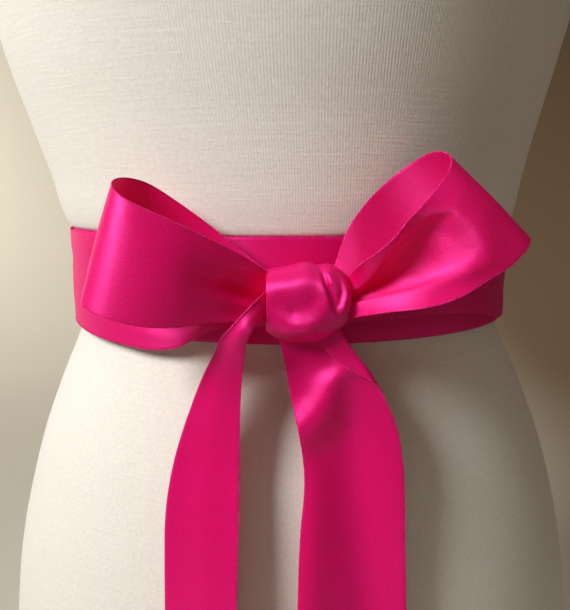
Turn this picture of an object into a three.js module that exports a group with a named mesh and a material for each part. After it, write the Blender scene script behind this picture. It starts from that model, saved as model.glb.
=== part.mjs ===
// A satin sash wound twice round the waist of a limbless dress form and tied in a bow at the front.
// Millimetres, with Z up, -Y to the front and X to the viewer's right.
// The origin is the middle of the form's flat base.

import * as THREE from "three";

// Driving dimensions
const ribbonWidth = 38; // a ribbon of one and a half inches
const wall = 1; // thickness of every cloth piece
const waistBottom = 260; // height of the inner turn's lower selvage
const turnFloor = 254; // the turns bear on a drum between these two heights
const turnCeiling = 302;
const innerOffset = 0.8; // from the drum to the middle of the inner turn's wall
const hiddenEndAngle = 125; // where the inner turn ends under each outer turn, degrees from the front
const knotBack = -84.2;
const foldRadius = 1.5; // to the middle of the wall, where a tail's edge turns over
const bowSpread = 0.28; // of a tail's panel
const leastHidden = 0.015; // the least share of a tail's width that curls over
const ellipse = 2; // the power of a rounded section, and more is squarer
const knotPower = 2.4;
const gatherWaves = 3; // across an outer turn's width
const creaseFade = 0.6; // of a knot crease's depth, lost by its lower end

// How finely each piece is stepped
const formSteps = { up: 35, round: 44 };
const innerTurnSteps = { along: 54, across: 2 };
const outerTurnSteps = { along: 56, across: 4 };
const loopSteps = { along: 39, across: 8 };
const tailSteps = { along: 28, across: 16 };
const knotSteps = { along: 24, round: 34 };

// Colours of the pieces
const satinPink = 0xd3126f;
const satinRoughness = 0.42;
const jerseyCream = 0xe9e2d6;
const jerseyRoughness = 0.95;

// The form, from its flat base to the top of the neck stub.
// half is half its width, and front and back are its depths before and behind its middle.
const formRows = [
  { height: 0, half: 121, front: 97, back: 100, lean: 0.5 },
  { height: 30, half: 124.5, front: 98.5, back: 103, lean: 0.5 },
  { height: 72, half: 129, front: 100, back: 106, lean: 1 },
  { height: 110, half: 131, front: 100.5, back: 106, lean: 1 },
  { height: 140, half: 129, front: 100, back: 104, lean: 1 },
  { height: 165, half: 125, front: 98.5, back: 100.5, lean: 1 },
  { height: 188, half: 119.5, front: 95.8, back: 95.5, lean: 1 },
  { height: 208, half: 113.5, front: 92.6, back: 91, lean: 0.8 },
  { height: 224, half: 107.5, front: 88.8, back: 87, lean: 0.6 },
  { height: 237, half: 102, front: 85.4, back: 83.6, lean: 0.4 },
  { height: 248, half: 97, front: 82.6, back: 81, lean: 0.2 },
  { height: 257, half: 93.8, front: 80.8, back: 79.4, lean: 0 },
  { height: 276, half: 93, front: 80.4, back: 79, lean: 0 },
  { height: 294, half: 93.6, front: 80.8, back: 79.4, lean: 0 },
  { height: 298.4, half: 94.8, front: 81.3, back: 79.8, lean: 0 },
  { height: 300.2, half: 97.6, front: 83.4, back: 81.6, lean: -0.1 },
  { height: 304, half: 99.6, front: 85, back: 82.8, lean: -0.3 },
  { height: 310, half: 101.2, front: 86, back: 83.4, lean: -0.6 },
  { height: 320, half: 103.4, front: 87.4, back: 84.2, lean: -1 },
  { height: 340, half: 109.2, front: 90.6, back: 85.8, lean: -2 },
  { height: 368, half: 117.5, front: 96.6, back: 88, lean: -3 },
  { height: 404, half: 126, front: 102.5, back: 91, lean: -3 },
  { height: 438, half: 129, front: 104.5, back: 94, lean: -2 },
  { height: 474, half: 127.5, front: 100, back: 96, lean: -1 },
  { height: 508, half: 128.5, front: 90.5, back: 96.5, lean: 0 },
  { height: 538, half: 133, front: 79, back: 93, lean: 0 },
  { height: 563, half: 136, front: 67.5, back: 86, lean: 0 },
  { height: 584, half: 131, front: 58, back: 76, lean: 0 },
  { height: 600, half: 113, front: 51, back: 66, lean: 0 },
  { height: 614, half: 86, front: 46, back: 57, lean: 0 },
  { height: 628, half: 62, front: 42.5, back: 49, lean: 0 },
  { height: 646, half: 49.5, front: 41, back: 44.5, lean: 0 },
  { height: 672, half: 46, front: 41, back: 43, lean: 0 },
  { height: 693, half: 44, front: 39, back: 41, lean: 0 },
  { height: 702, half: 36, front: 32, back: 33, lean: 0 },
  { height: 705, half: 20, front: 18, back: 19, lean: 0 },
];
const bust = { apart: 58, height: 438, rise: 13, spreadAcross: 38, spreadUp: 46 };

// The drum that the turns bear on, at its two ends
const drumRows = [
  { height: turnFloor, half: 94.6, front: 82.2, back: 80.6 },
  { height: turnCeiling, half: 95.3, front: 82.6, back: 81.0 },
];

// The outer turn on the viewer's left, from the knot round the back and under the other turn.
// It crosses over that turn behind the waist, then is pinched narrow to dive under it.
const outerLeftRows = [
  { angle: -5.9, top: 286.0, bottom: 268.5, offset: 4.0, gather: 0.5 },
  { angle: -10, top: 289.0, bottom: 268.0, offset: 4.4, gather: 0.6 },
  { angle: -17, top: 292.5, bottom: 264.8, offset: 5.0, gather: 0.5 },
  { angle: -24, top: 294.5, bottom: 258.2, offset: 5.2, gather: 0.2 },
  { angle: -32, top: 296.0, bottom: 256.2, offset: 5.2, gather: 0 },
  { angle: -42, top: 297.0, bottom: 256.6, offset: 4.2, gather: 0 },
  { angle: -53, top: 297.5, bottom: 257.0, offset: 3.2, gather: 0 },
  { angle: -66, top: 297.5, bottom: 258.0, offset: 2.5, gather: 0 },
  { angle: -85, top: 297.5, bottom: 258.8, offset: 2.1, gather: 0 },
  { angle: -115, top: 297.0, bottom: 259.0, offset: 2.1, gather: 0 },
  { angle: -145, top: 295.5, bottom: 258.0, offset: 2.1, gather: 0 },
  { angle: -165, top: 292.5, bottom: 256.0, offset: 2.1, gather: 0 },
  { angle: -180, top: 289.0, bottom: 255.2, offset: 2.1, gather: 0 },
  { angle: -193, top: 283.5, bottom: 256.4, offset: 2.1, gather: 0.1 },
  { angle: -203, top: 277.2, bottom: 257.6, offset: 1.7, gather: 0.2 },
  { angle: -213, top: 277.6, bottom: 258.6, offset: 0.8, gather: 0 },
  { angle: -225, top: 287.0, bottom: 259.8, offset: 0.8, gather: 0 },
  { angle: -234.6, top: 295.0, bottom: 260.2, offset: 0.8, gather: 0 },
];

// The outer turn on the viewer's right, from the knot round the back and under the other turn
const outerRightRows = [
  { angle: 12.6, top: 286.5, bottom: 270.0, offset: 3.6, gather: 0.5 },
  { angle: 17, top: 290.0, bottom: 269.0, offset: 3.9, gather: 0.6 },
  { angle: 24, top: 294.5, bottom: 269.0, offset: 3.6, gather: 0.4 },
  { angle: 34, top: 297.5, bottom: 269.2, offset: 2.9, gather: 0.1 },
  { angle: 48, top: 298.6, bottom: 267.0, offset: 2.4, gather: 0 },
  { angle: 62, top: 298.6, bottom: 262.2, offset: 2.1, gather: 0 },
  { angle: 75, top: 298.2, bottom: 260.4, offset: 2.1, gather: 0 },
  { angle: 95, top: 298.0, bottom: 260.2, offset: 2.1, gather: 0 },
  { angle: 120, top: 298.0, bottom: 261.4, offset: 2.1, gather: 0 },
  { angle: 138, top: 298.6, bottom: 269.4, offset: 2.1, gather: 0.1 },
  { angle: 150, top: 299.0, bottom: 279.8, offset: 1.7, gather: 0.2 },
  { angle: 160, top: 299.0, bottom: 280.4, offset: 0.8, gather: 0.1 },
  { angle: 172, top: 298.9, bottom: 270.4, offset: 0.8, gather: 0 },
  { angle: 190, top: 298.6, bottom: 262.6, offset: 0.8, gather: 0 },
  { angle: 212, top: 298.2, bottom: 260.6, offset: 0.8, gather: 0 },
  { angle: 234.6, top: 297.9, bottom: 260.2, offset: 0.8, gather: 0 },
];

// The loop on the viewer's left: out from the knot at the back, round its bend, and back in at the front.
// Each row is a section of the ribbon, by its upper selvage, its middle and its lower selvage.
const leftLoopRows = [
  { upper: [-8.4, -90.6, 287.3], middle: [-8.4, -91.6, 278.0], lower: [-8.4, -91.0, 268.6] },
  { upper: [-17.2, -88.8, 294.0], middle: [-18.0, -90.8, 280.5], lower: [-19.5, -91.8, 267.0] },
  { upper: [-27.3, -88.0, 302.2], middle: [-30.0, -89.6, 285.5], lower: [-32.5, -91.5, 268.5] },
  { upper: [-37.2, -89.0, 309.6], middle: [-40.8, -89.8, 291.5], lower: [-44.5, -92.0, 272.0] },
  { upper: [-46.6, -92.0, 316.0], middle: [-50.6, -92.4, 297.0], lower: [-55.0, -94.8, 275.6] },
  { upper: [-52.8, -97.0, 318.1], middle: [-58.0, -97.0, 299.0], lower: [-63.0, -99.3, 277.8] },
  { upper: [-56.0, -103.5, 317.4], middle: [-61.9, -103.4, 299.0], lower: [-67.0, -105.0, 279.3] },
  { upper: [-54.8, -109.6, 314.8], middle: [-60.2, -110.6, 297.5], lower: [-65.4, -110.8, 278.2] },
  { upper: [-50.3, -113.0, 311.5], middle: [-54.4, -115.4, 294.5], lower: [-58.5, -115.2, 275.6] },
  { upper: [-43.0, -113.5, 308.0], middle: [-45.0, -116.8, 290.8], lower: [-47.2, -116.0, 272.9] },
  { upper: [-34.1, -112.0, 303.8], middle: [-35.0, -114.8, 288.0], lower: [-36.3, -113.4, 272.0] },
  { upper: [-25.3, -109.0, 299.0], middle: [-26.0, -109.2, 285.8], lower: [-26.8, -109.4, 272.8] },
  { upper: [-16.2, -104.0, 293.8], middle: [-17.0, -101.6, 283.0], lower: [-18.0, -105.0, 272.4] },
  { upper: [-8.4, -98.5, 288.3], middle: [-8.4, -96.6, 279.6], lower: [-8.4, -100.0, 271.8] },
];

// The loop on the viewer's right, taken the same way, with a cupped hollow in its front ply
const rightLoopRows = [
  { upper: [16.0, -89.2, 291.0], middle: [21.0, -91.0, 281.0], lower: [20.7, -91.5, 269.4] },
  { upper: [19.5, -88.3, 300.5], middle: [25.4, -89.6, 286.5], lower: [30.0, -91.5, 271.5] },
  { upper: [25.0, -87.0, 308.6], middle: [33.5, -88.0, 293.5], lower: [42.0, -92.0, 277.0] },
  { upper: [32.0, -86.5, 315.8], middle: [42.5, -87.5, 300.5], lower: [53.0, -92.5, 284.0] },
  { upper: [40.0, -88.0, 322.3], middle: [51.5, -88.8, 307.0], lower: [63.0, -92.5, 291.0] },
  { upper: [46.5, -92.5, 326.0], middle: [59.0, -92.6, 312.0], lower: [71.5, -95.0, 296.3] },
  { upper: [50.6, -98.5, 325.0], middle: [64.0, -98.9, 312.5], lower: [77.0, -99.7, 299.3] },
  { upper: [50.0, -104.5, 321.3], middle: [62.8, -105.4, 309.5], lower: [75.4, -105.4, 296.3] },
  { upper: [45.7, -108.6, 315.3], middle: [57.0, -110.0, 303.5], lower: [68.4, -109.6, 290.3] },
  { upper: [39.3, -111.6, 308.7], middle: [49.2, -109.0, 296.3], lower: [59.5, -114.0, 284.9] },
  { upper: [33.8, -112.0, 302.6], middle: [42.0, -105.8, 290.3], lower: [50.6, -117.0, 280.8] },
  { upper: [28.0, -109.5, 297.0], middle: [35.0, -102.4, 285.6], lower: [41.0, -117.0, 277.8] },
  { upper: [22.8, -104.5, 291.5], middle: [27.6, -98.8, 282.3], lower: [31.2, -112.5, 276.0] },
  { upper: [20.4, -98.0, 287.0], middle: [20.4, -96.4, 279.6], lower: [20.4, -103.0, 273.2] },
];

// A tail's panel runs from the start to the end point of each row, and holds the shown share of the
// ribbon's width. The rest turns over round a fold of foldRadius.
// The panel bows away from that side, most at the share bowAt.

// The tail on the viewer's left, from the knot down to its slanted cut. Its outer edge is folded under.
const leftTailRows = [
  { start: [-8.5, -103.2, 272.0], end: [-8.5, -103.0, 281.2], shown: 1, bow: 0.3, bowAt: 0.5 },
  { start: [-9.9, -105.5, 272.5], end: [-12.0, -107.5, 278.3], shown: 1, bow: 0.6, bowAt: 0.5 },
  { start: [-11.9, -108.0, 270.6], end: [-16.1, -109.5, 274.1], shown: 1, bow: 0.8, bowAt: 0.5 },
  { start: [-13.5, -108.0, 268.3], end: [-19.7, -108.5, 269.9], shown: 1, bow: 0.9, bowAt: 0.5 },
  { start: [-14.3, -106.5, 266.2], end: [-22.6, -105.5, 265.8], shown: 0.97, bow: 0.9, bowAt: 0.5 },
  { start: [-14.8, -104.5, 262.7], end: [-24.6, -102.5, 261.6], shown: 0.9, bow: 0.9, bowAt: 0.5 },
  { start: [-15.7, -102.5, 256.2], end: [-28.0, -99.5, 254.7], shown: 0.82, bow: 0.9, bowAt: 0.5 },
  { start: [-16.7, -102.0, 245.1], end: [-32.3, -97.5, 243.7], shown: 0.74, bow: 0.8, bowAt: 0.5 },
  { start: [-17.3, -104.0, 224.8], end: [-39.1, -97.0, 222.1], shown: 0.71, bow: 0.8, bowAt: 0.5 },
  { start: [-17.4, -108.0, 205.2], end: [-42.7, -98.5, 200.7], shown: 0.73, bow: 1, bowAt: 0.5 },
  { start: [-18.2, -113.0, 175.6], end: [-43.3, -101.5, 168.4], shown: 0.76, bow: 1, bowAt: 0.5 },
  { start: [-18.8, -114.0, 150.0], end: [-44.2, -102.5, 146.0], shown: 0.77, bow: 1, bowAt: 0.5 },
  { start: [-19.6, -114.4, 116.0], end: [-45.0, -103.0, 120.0], shown: 0.77, bow: 1, bowAt: 0.5 },
  { start: [-20.4, -114.4, 76.0], end: [-46.0, -103.0, 90.0], shown: 0.77, bow: 1, bowAt: 0.5 },
  { start: [-21.2, -114.0, 36.0], end: [-46.8, -102.5, 56.0], shown: 0.77, bow: 1, bowAt: 0.5 },
];

// The tail on the viewer's right. Its outer edge turns over forward just under the knot, then lies open.
const rightTailRows = [
  { start: [-3.4, -93.4, 263.6], end: [19.1, -97.2, 263.6], shown: 0.655, bow: 0.3, bowAt: 0.7 },
  { start: [-1.5, -94.0, 254.7], end: [24.0, -98.0, 257.2], shown: 0.705, bow: 0.8, bowAt: 0.66 },
  { start: [-0.4, -95.0, 248.3], end: [27.8, -98.5, 249.9], shown: 0.926, bow: 1.8, bowAt: 0.6 },
  { start: [0.9, -95.5, 242.0], end: [32.2, -98.5, 242.9], shown: 0.985, bow: 3, bowAt: 0.5 },
  { start: [3.0, -96.0, 233.3], end: [36.2, -99.0, 234.3], shown: 1, bow: 3.8, bowAt: 0.38 },
  { start: [4.6, -97.0, 222.1], end: [38.3, -100.0, 223.2], shown: 1, bow: 4.2, bowAt: 0.28 },
  { start: [5.0, -98.0, 211.5], end: [39.1, -101.0, 212.8], shown: 1, bow: 3.8, bowAt: 0.24 },
  { start: [3.6, -100.0, 194.0], end: [39.5, -102.5, 195.3], shown: 1, bow: 3.2, bowAt: 0.2 },
  { start: [2.7, -103.0, 169.3], end: [40.3, -104.0, 170.0], shown: 1, bow: 2.2, bowAt: 0.2 },
  { start: [2.2, -104.5, 146.0], end: [40.2, -104.8, 149.0], shown: 1, bow: 1.6, bowAt: 0.22 },
  { start: [2.0, -105.0, 118.0], end: [40.0, -105.0, 124.0], shown: 1, bow: 1.4, bowAt: 0.25 },
  { start: [1.8, -105.0, 84.0], end: [39.8, -105.0, 92.0], shown: 1, bow: 1.2, bowAt: 0.3 },
  { start: [1.6, -104.6, 46.0], end: [39.4, -104.6, 62.0], shown: 1, bow: 1.2, bowAt: 0.3 },
];

// The knot, by sections from its left selvage to its right one
const knotRows = [
  { across: -7.9, top: 288.0, bottom: 265.8, front: -105.0 },
  { across: -4.5, top: 288.5, bottom: 264.6, front: -105.6 },
  { across: 0, top: 289.4, bottom: 264.0, front: -106.4 },
  { across: 5, top: 290.6, bottom: 264.0, front: -106.6 },
  { across: 9, top: 289.6, bottom: 264.2, front: -105.8 },
  { across: 13, top: 289.8, bottom: 265.6, front: -105.6 },
  { across: 17, top: 287.4, bottom: 268.4, front: -104.0 },
  { across: 19.9, top: 283.4, bottom: 271.6, front: -100.4 },
];

// Creases on the knot's front, each a soft trough from its upper end to its lower end
const knotCreases = [
  { fromX: 8.4, fromZ: 290.5, toX: 14.6, toZ: 275.5, wide: 1.5, deep: 2.4 },
  { fromX: 13.4, fromZ: 289.5, toX: 16.4, toZ: 279.0, wide: 1.1, deep: 1.2 },
  { fromX: -3.5, fromZ: 283.5, toX: 1.6, toZ: 276.5, wide: 1.9, deep: 0.8 },
  { fromX: -4.0, fromZ: 271.0, toX: 6.5, toZ: 270.0, wide: 1.6, deep: 0.9 },
];

const radians = THREE.MathUtils.degToRad;

// A value at t, from 0 at the first of the numbers to 1 at the last, on a smooth curve through them all
function smoothValue(numbers, t) {
  const place = t * (numbers.length - 1);
  const before = Math.min(Math.floor(place), numbers.length - 2);
  const f = place - before;
  const at = (k) => numbers[THREE.MathUtils.clamp(k, 0, numbers.length - 1)];
  const [a, b, c, d] = [at(before - 1), at(before), at(before + 1), at(before + 2)];
  const bend = 2 * a - 5 * b + 4 * c - d;
  const twist = 3 * (b - c) + d - a;
  return b + 0.5 * f * (c - a + f * (bend + f * twist));
}

// One named column of a table at t
function column(rows, name, t) {
  return smoothValue(
    rows.map((row) => row[name]),
    t,
  );
}

// One named column of points at t
function pointColumn(rows, name, t) {
  const part = (axis) =>
    smoothValue(
      rows.map((row) => row[name][axis]),
      t,
    );
  return new THREE.Vector3(part(0), part(1), part(2));
}

// Turns the faces of a closed mesh round if they point inwards
function facingOut(positions, faces) {
  const corner = (k) => new THREE.Vector3().fromArray(positions, 3 * k);
  const volume = faces.reduce((sum, [a, b, c]) => sum + corner(a).dot(corner(b).cross(corner(c))), 0);
  return volume < 0 ? faces.map(([a, b, c]) => [a, c, b]) : faces;
}

function closedGeometry(points, faces) {
  const positions = points.flatMap((p) => [p.x, p.y, p.z]);
  const geometry = new THREE.BufferGeometry();
  geometry.setAttribute("position", new THREE.Float32BufferAttribute(positions, 3));
  geometry.setIndex(facingOut(positions, faces).flat());
  geometry.computeVertexNormals();
  return geometry;
}

// The direction straight out of a grid of points at one of them
function gridNormal(grid, i, j) {
  const last = { i: grid.length - 1, j: grid[0].length - 1 };
  const along = grid[Math.min(i + 1, last.i)][j].clone().sub(grid[Math.max(i - 1, 0)][j]);
  const across = grid[i][Math.min(j + 1, last.j)].clone().sub(grid[i][Math.max(j - 1, 0)]);
  return along.cross(across).normalize();
}

// A wall of cloth on both sides of a surface, given as a function of along and across, each from 0 to 1
function clothGeometry(surface, steps) {
  const grid = [];
  for (let i = 0; i <= steps.along; i += 1) {
    const line = [];
    for (let j = 0; j <= steps.across; j += 1) line.push(surface(i / steps.along, j / steps.across));
    grid.push(line);
  }
  const side = (direction) =>
    grid.flatMap((line, i) =>
      line.map((p, j) => p.clone().addScaledVector(gridNormal(grid, i, j), (direction * wall) / 2)),
    );
  const points = [...side(1), ...side(-1)];
  const perLine = steps.across + 1;
  const back = grid.length * perLine;
  const index = (i, j) => i * perLine + j;
  const faces = [];
  const quad = (a, b, c, d) => faces.push([a, b, c], [a, c, d]);
  for (let i = 0; i < steps.along; i += 1) {
    for (let j = 0; j < steps.across; j += 1) {
      const corners = [index(i, j), index(i + 1, j), index(i + 1, j + 1), index(i, j + 1)];
      quad(...corners);
      quad(...corners.map((k) => k + back).reverse());
    }
  }
  const rim = (a, b) => quad(b, a, a + back, b + back);
  for (let i = 0; i < steps.along; i += 1) {
    rim(index(i, 0), index(i + 1, 0));
    rim(index(i + 1, steps.across), index(i, steps.across));
  }
  for (let j = 0; j < steps.across; j += 1) {
    rim(index(0, j + 1), index(0, j));
    rim(index(steps.along, j), index(steps.along, j + 1));
  }
  return closedGeometry(points, faces);
}

// A closed body through rings of points with the same number in each, with a flat or pointed cap at each end
function ringedGeometry(rings) {
  const round = rings[0].length;
  const points = rings.flat();
  const faces = [];
  for (let i = 0; i < rings.length - 1; i += 1) {
    for (let j = 0; j < round; j += 1) {
      const next = (j + 1) % round;
      const [a, b] = [i * round + j, i * round + next];
      faces.push([a, b, b + round], [a, b + round, a + round]);
    }
  }
  [0, rings.length - 1].forEach((end) => {
    const middle = points.length;
    const sum = rings[end].reduce((total, p) => total.add(p), new THREE.Vector3());
    points.push(sum.divideScalar(round));
    for (let j = 0; j < round; j += 1) {
      const edge = [end * round + j, end * round + ((j + 1) % round)];
      faces.push(end === 0 ? [middle, edge[1], edge[0]] : [middle, edge[0], edge[1]]);
    }
  });
  return closedGeometry(points, faces);
}

// A point on a rounded section, half wide and deep, with angle 0 at the front
function roundedSection(half, front, back, power, angle) {
  const [s, c] = [Math.sin(angle), Math.cos(angle)];
  const depth = c > 0 ? front : back;
  const soften = (value) => Math.sign(value) * Math.abs(value) ** (2 / power);
  return { x: half * soften(s), y: -depth * soften(c) };
}

// How far the form swells forward at a point over the bust
function bustRise(x, height) {
  const up = Math.exp(-(((height - bust.height) / bust.spreadUp) ** 2));
  const bump = (middle) => Math.exp(-(((x - middle) / bust.spreadAcross) ** 2));
  return bust.rise * up * (bump(-bust.apart) + bump(bust.apart));
}

function formGeometry() {
  const rings = [];
  for (let i = 0; i <= formSteps.up; i += 1) {
    const t = i / formSteps.up;
    const [height, half, front, back, lean] = ["height", "half", "front", "back", "lean"].map((name) =>
      column(formRows, name, t),
    );
    const ring = [];
    for (let j = 0; j < formSteps.round; j += 1) {
      const angle = (2 * Math.PI * j) / formSteps.round;
      const p = roundedSection(half, front, back, ellipse, angle);
      const rise = p.y < 0 ? bustRise(p.x, height) * (p.y / -front) ** 2 : 0;
      ring.push(new THREE.Vector3(p.x + lean, p.y - rise, height));
    }
    rings.push(ring);
  }
  return ringedGeometry(rings);
}

// A point on the drum at an angle from the front, moved out by the offset
function drumPoint(angle, height, offset) {
  const share = (height - turnFloor) / (turnCeiling - turnFloor);
  const size = (name) => THREE.MathUtils.lerp(drumRows[0][name], drumRows[1][name], share);
  const [s, c] = [Math.sin(angle), Math.cos(angle)];
  const half = size("half");
  const depth = c > 0 ? size("front") : size("back");
  const out = new THREE.Vector3(s / half, -c / depth, 0).normalize();
  return new THREE.Vector3(half * s, -depth * c, height).addScaledVector(out, offset);
}

function innerTurnSurface(u, v) {
  const angle = radians(THREE.MathUtils.lerp(-hiddenEndAngle, hiddenEndAngle, u));
  return drumPoint(angle, waistBottom + ribbonWidth * v, innerOffset);
}

// Soft gathers across a ribbon, each as deep as the amount says
function gathers(amount, v) {
  return amount * Math.cos(2 * Math.PI * gatherWaves * v);
}

function outerTurnSurface(rows) {
  return (u, v) => {
    const [angle, top, bottom, offset, gather] = ["angle", "top", "bottom", "offset", "gather"].map((name) =>
      column(rows, name, u),
    );
    const height = THREE.MathUtils.lerp(bottom, top, v);
    return drumPoint(radians(angle), height, offset + gathers(gather, v));
  };
}

// A ribbon through sections that are each a curve from the lower selvage over the middle to the upper one
function ribbonSurface(rows) {
  return (u, v) => {
    const [upper, middle, lower] = ["upper", "middle", "lower"].map((name) => pointColumn(rows, name, u));
    const w = 2 * v - 1;
    return lower
      .multiplyScalar((w * w - w) / 2)
      .addScaledVector(middle, 1 - w * w)
      .addScaledVector(upper, (w * w + w) / 2);
  };
}

// A ribbon with a bowed panel in each row, whose width past the end point turns over.
// Half of the steps across lie on the panel, and half on what turns over.
function foldedRibbonSurface(rows) {
  return (u, v) => {
    const start = pointColumn(rows, "start", u);
    const end = pointColumn(rows, "end", u);
    const panel = end.clone().sub(start);
    const width = panel.length();
    const along = panel.normalize();
    const over = along.clone().cross(new THREE.Vector3(0, 0, 1)).normalize();
    const share = Math.min(2 * v, 1);
    const bow = column(rows, "bow", u);
    const bowAt = column(rows, "bowAt", u);
    const dip = bow * Math.exp(-(((share - bowAt) / bowSpread) ** 2));
    const hidden = Math.max(1 - column(rows, "shown", u), leastHidden) * ribbonWidth;
    const folded = Math.max(2 * v - 1, 0) * hidden;
    const turn = Math.min(folded / foldRadius, Math.PI);
    const beyond = folded - turn * foldRadius;
    return start
      .addScaledVector(along, share * width + foldRadius * Math.sin(turn) - beyond)
      .addScaledVector(over, foldRadius * (1 - Math.cos(turn)) - dip);
  };
}

// How deep the knot's creases are at a point of its front
function creaseDepth(x, z) {
  return knotCreases.reduce((sum, crease) => {
    const line = new THREE.Vector2(crease.toX - crease.fromX, crease.toZ - crease.fromZ);
    const from = new THREE.Vector2(x - crease.fromX, z - crease.fromZ);
    const share = THREE.MathUtils.clamp(from.dot(line) / line.lengthSq(), 0, 1);
    const away = from.sub(line.clone().multiplyScalar(share)).length();
    const fade = 1 - creaseFade * share;
    return sum + crease.deep * fade * Math.exp(-((away / crease.wide) ** 2));
  }, 0);
}

function knotGeometry() {
  const rings = [];
  for (let i = 0; i <= knotSteps.along; i += 1) {
    const t = i / knotSteps.along;
    const [x, top, bottom, front] = ["across", "top", "bottom", "front"].map((name) => column(knotRows, name, t));
    const [middle, half] = [(top + bottom) / 2, (top - bottom) / 2];
    const depth = (knotBack - front) / 2;
    const ring = [];
    for (let j = 0; j < knotSteps.round; j += 1) {
      const angle = (2 * Math.PI * j) / knotSteps.round;
      const p = roundedSection(half, depth, depth, knotPower, angle);
      const z = middle + p.x;
      const facing = Math.max(0, Math.cos(angle));
      ring.push(new THREE.Vector3(x, knotBack - depth + p.y + facing * creaseDepth(x, z), z));
    }
    rings.push(ring);
  }
  return ringedGeometry(rings);
}

const satin = new THREE.MeshStandardMaterial({
  color: satinPink,
  roughness: satinRoughness,
  metalness: 0,
});
const jersey = new THREE.MeshStandardMaterial({
  color: jerseyCream,
  roughness: jerseyRoughness,
  metalness: 0,
});

const group = new THREE.Group();

function addPiece(name, geometry, material) {
  const mesh = new THREE.Mesh(geometry, material);
  mesh.name = name;
  group.add(mesh);
}

addPiece("dress_form", formGeometry(), jersey);
addPiece("turn_inner", clothGeometry(innerTurnSurface, innerTurnSteps), satin);
addPiece("turn_outer_left", clothGeometry(outerTurnSurface(outerLeftRows), outerTurnSteps), satin);
addPiece("turn_outer_right", clothGeometry(outerTurnSurface(outerRightRows), outerTurnSteps), satin);
addPiece("loop_left", clothGeometry(ribbonSurface(leftLoopRows), loopSteps), satin);
addPiece("loop_right", clothGeometry(ribbonSurface(rightLoopRows), loopSteps), satin);
addPiece("tail_left", clothGeometry(foldedRibbonSurface(leftTailRows), tailSteps), satin);
addPiece("tail_right", clothGeometry(foldedRibbonSurface(rightTailRows), tailSteps), satin);
addPiece("knot", knotGeometry(), satin);

export default group;
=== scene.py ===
"""A pink satin ribbon sash, wound twice round the waist of a small dress form and tied in a bow."""
import math

import bmesh
import bpy
import numpy as np
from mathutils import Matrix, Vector


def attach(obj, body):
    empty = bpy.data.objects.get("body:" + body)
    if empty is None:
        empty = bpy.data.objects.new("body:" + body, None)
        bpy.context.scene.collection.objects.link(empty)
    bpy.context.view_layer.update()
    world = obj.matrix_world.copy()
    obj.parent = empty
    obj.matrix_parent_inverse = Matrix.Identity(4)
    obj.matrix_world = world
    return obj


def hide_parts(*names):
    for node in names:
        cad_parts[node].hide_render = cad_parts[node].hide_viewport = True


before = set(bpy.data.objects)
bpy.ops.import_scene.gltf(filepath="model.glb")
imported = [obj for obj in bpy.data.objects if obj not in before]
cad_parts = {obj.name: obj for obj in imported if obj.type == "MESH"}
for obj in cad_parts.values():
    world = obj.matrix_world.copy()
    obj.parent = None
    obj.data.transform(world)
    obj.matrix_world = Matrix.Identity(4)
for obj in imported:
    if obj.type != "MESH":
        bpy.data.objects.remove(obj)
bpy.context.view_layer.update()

# Every size below is in millimetres, apart from the lamps' and the stage's, and this brings it to
# Blender's metres.
MM = 0.001

# The ribbon and the drum that it is wound round
RIBBON_WIDTH = 38.0
RIBBON_THICKNESS = 0.35
WAIST_BOTTOM = 260.0
INNER_OFFSET = 0.8
HIDDEN_END_ANGLE = 125.0
KNOT_BACK = -84.2
KNOT_ROUNDNESS = 2.4
KNOT_GIRTH = 76.0
KNOT_CORE_SIZE = 0.92
FOLD_RADIUS = 1.5
BOW_SPREAD = 0.28
GATHER_WAVES = 3

# The selvage: a row of weft picks turned round the outermost warp threads
SELVAGE_RADIUS = 0.3
PICK_SPACING = 0.5
PICK_GAP_SIZE = 0.55

# Grid cells of the meshes, and the form's cells round it and up it
TURN_CELL = 1.0
TAIL_CELL = 0.8
LOOP_CELL = 0.6
KNOT_CELL = 0.42
FORM_CELLS = 240, 220

# Points closer than this are one, where a mesh closes on itself
WELD = 0.01

# The step in u and v that a surface's slopes are taken over, and the steps that its length is added up from
SLOPE_STEP = 0.002
LENGTH_STEPS = 801

# A wave texture's period at a scale of 1
WAVE_PERIOD = 2 * math.pi / 20

# The photograph's camera, and its picture in pixels
CAMERA_PLACE = (-1.8, -337.6, 315.8)
CAMERA_TILT = 9.3
FOCAL_LENGTH_PIXELS = 730.0
PICTURE_LONG_SIDE = 610.0
SENSOR_SIZE = 36.0


# Tables, with named columns and a row for each section

def table(columns, rows):
    """The rows' columns by name. A column holds a number or a point in each row."""
    return {name: np.array([row[k] for row in rows], float) for k, name in enumerate(columns.split())}


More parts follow.
